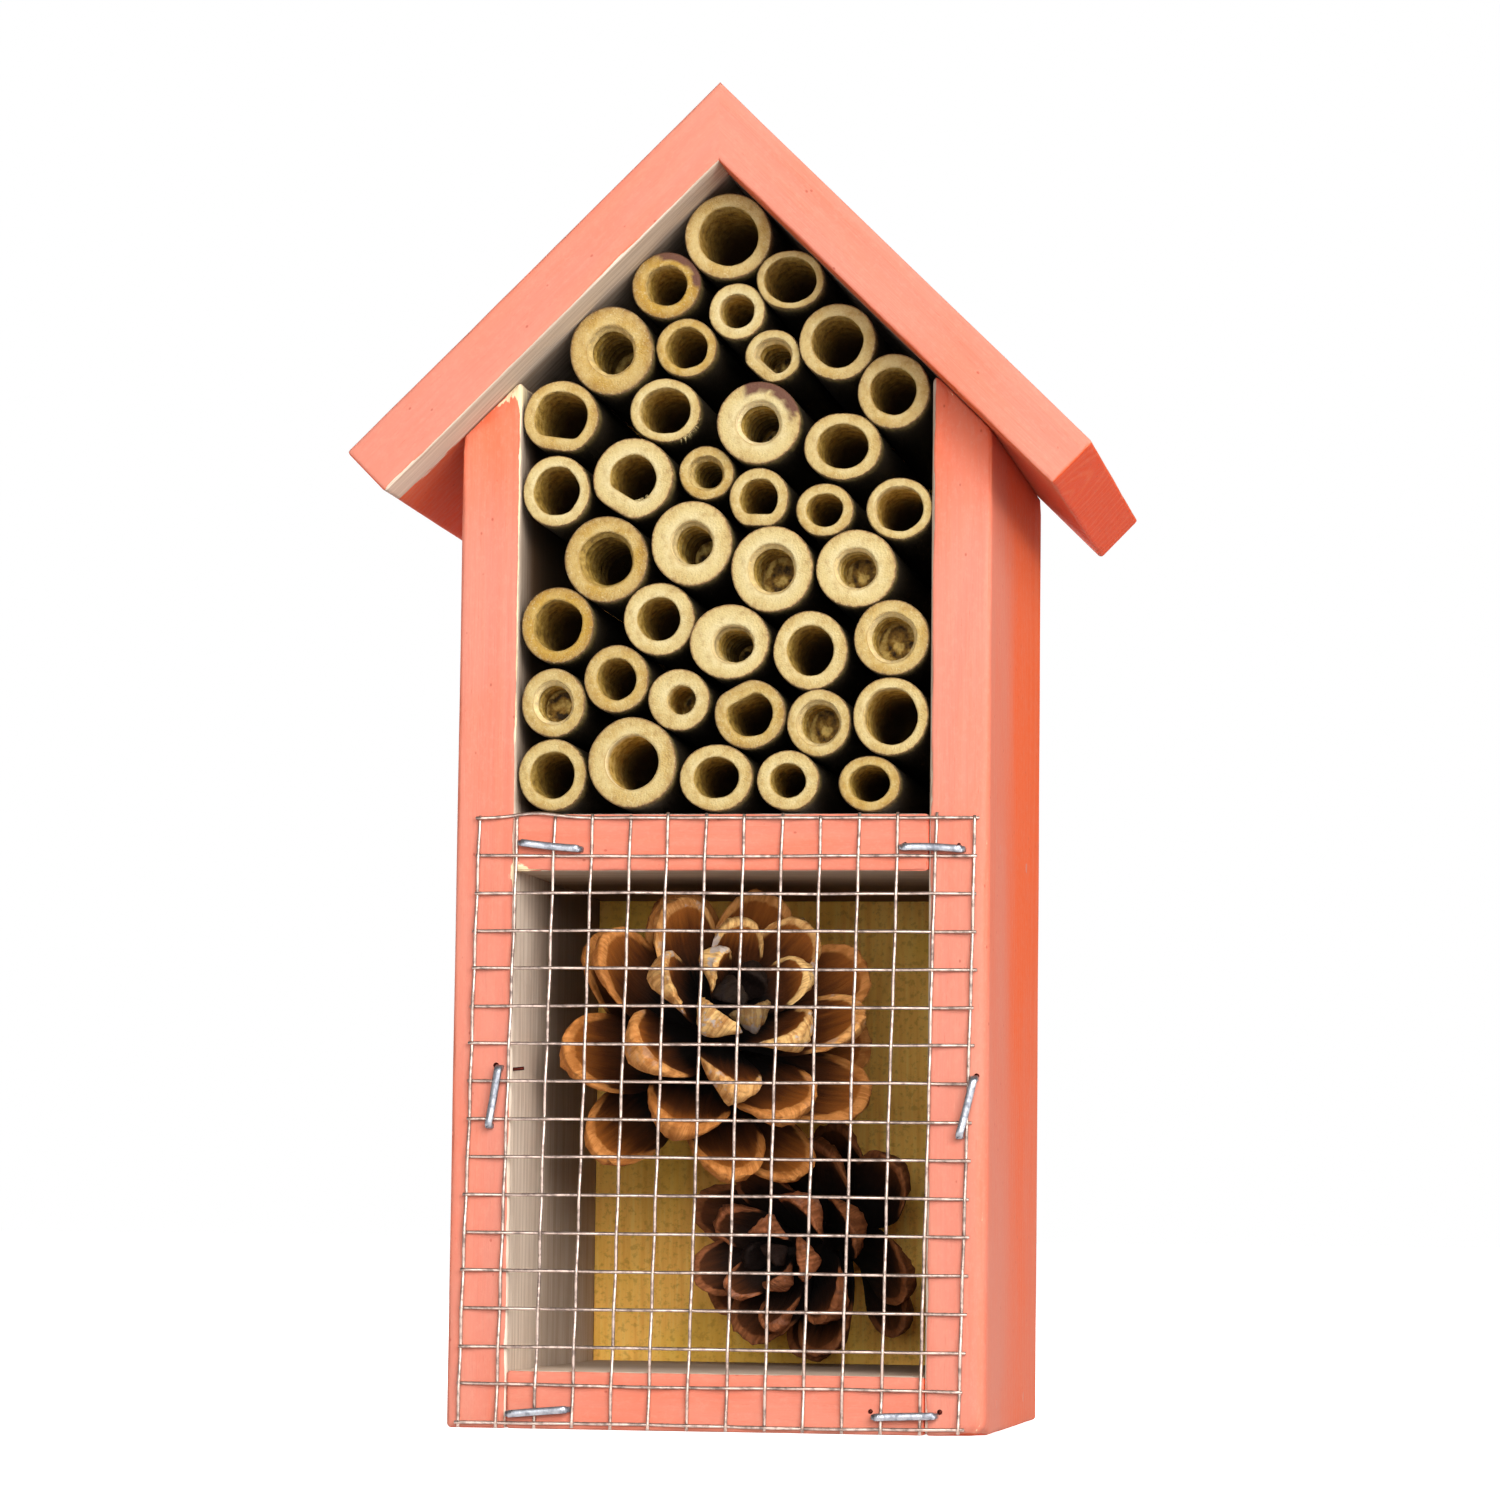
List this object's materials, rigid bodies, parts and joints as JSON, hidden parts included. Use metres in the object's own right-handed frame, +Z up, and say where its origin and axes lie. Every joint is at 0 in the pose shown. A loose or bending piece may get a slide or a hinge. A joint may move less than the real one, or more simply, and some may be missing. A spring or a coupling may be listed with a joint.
{
  "type": "insect hotel",
  "caption": "Small wooden house with a pitched roof: bamboo tubes fill its upper room, and pine cones sit behind wire mesh in the lower one.",
  "frame": {"origin": "middle of the footprint's bounding box, on the surface the house stands on", "axes": "+Z up, the open front with the mesh faces -Y, +X to the right when looking at the front"},
  "size_m": [0.124, 0.09, 0.2213],
  "materials": {
    "painted_wood": "thin coral paint, satin, with the grain showing through",
    "plywood": "bare",
    "bamboo": "sawn ends, dull",
    "cone_scales": "dull, paler at the tips",
    "mesh_wire": "galvanised",
    "staple_wire": "galvanised",
    "plate_steel": "zinc plated",
    "nail_steel": "bright, a little dull"
  },
  "bodies": {
    "root": {"left_side": "painted_wood", "right_side": "painted_wood", "floor_board": "painted_wood", "middle_shelf": "painted_wood", "roof_left": "painted_wood", "roof_right": "painted_wood", "back_panel": "plywood", "bamboo_tube_01": "bamboo", "bamboo_tube_02": "bamboo", "bamboo_tube_03": "bamboo", "bamboo_tube_04": "bamboo", "bamboo_tube_05": "bamboo", "bamboo_tube_06": "bamboo", "bamboo_tube_07": "bamboo", "bamboo_tube_08": "bamboo", "bamboo_tube_09": "bamboo", "bamboo_tube_10": "bamboo", "bamboo_tube_11": "bamboo", "bamboo_tube_12": "bamboo", "bamboo_tube_13": "bamboo", "bamboo_tube_14": "bamboo", "bamboo_tube_15": "bamboo", "bamboo_tube_16": "bamboo", "bamboo_tube_17": "bamboo", "bamboo_tube_18": "bamboo", "bamboo_tube_19": "bamboo", "bamboo_tube_20": "bamboo", "bamboo_tube_21": "bamboo", "bamboo_tube_22": "bamboo", "bamboo_tube_23": "bamboo", "bamboo_tube_24": "bamboo", "bamboo_tube_25": "bamboo", "bamboo_tube_26": "bamboo", "bamboo_tube_27": "bamboo", "bamboo_tube_28": "bamboo", "bamboo_tube_29": "bamboo", "bamboo_tube_30": "bamboo", "bamboo_tube_31": "bamboo", "bamboo_tube_32": "bamboo", "bamboo_tube_33": "bamboo", "bamboo_tube_34": "bamboo", "bamboo_tube_35": "bamboo", "bamboo_tube_36": "bamboo", "bamboo_tube_37": "bamboo", "bamboo_tube_38": "bamboo", "bamboo_tube_39": "bamboo", "pine_cone_large": "cone_scales", "pine_cone_small": "cone_scales", "side_nails": "nail_steel", "roof_nails": "nail_steel", "ridge_pins": "nail_steel", "back_panel_brads": "nail_steel", "mesh_upright_wires": "mesh_wire", "mesh_cross_wires": "mesh_wire", "mesh_staples": "staple_wire", "hanging_plate": "plate_steel", "hanging_plate_screws": "nail_steel"}
  },
  "joints": []
}
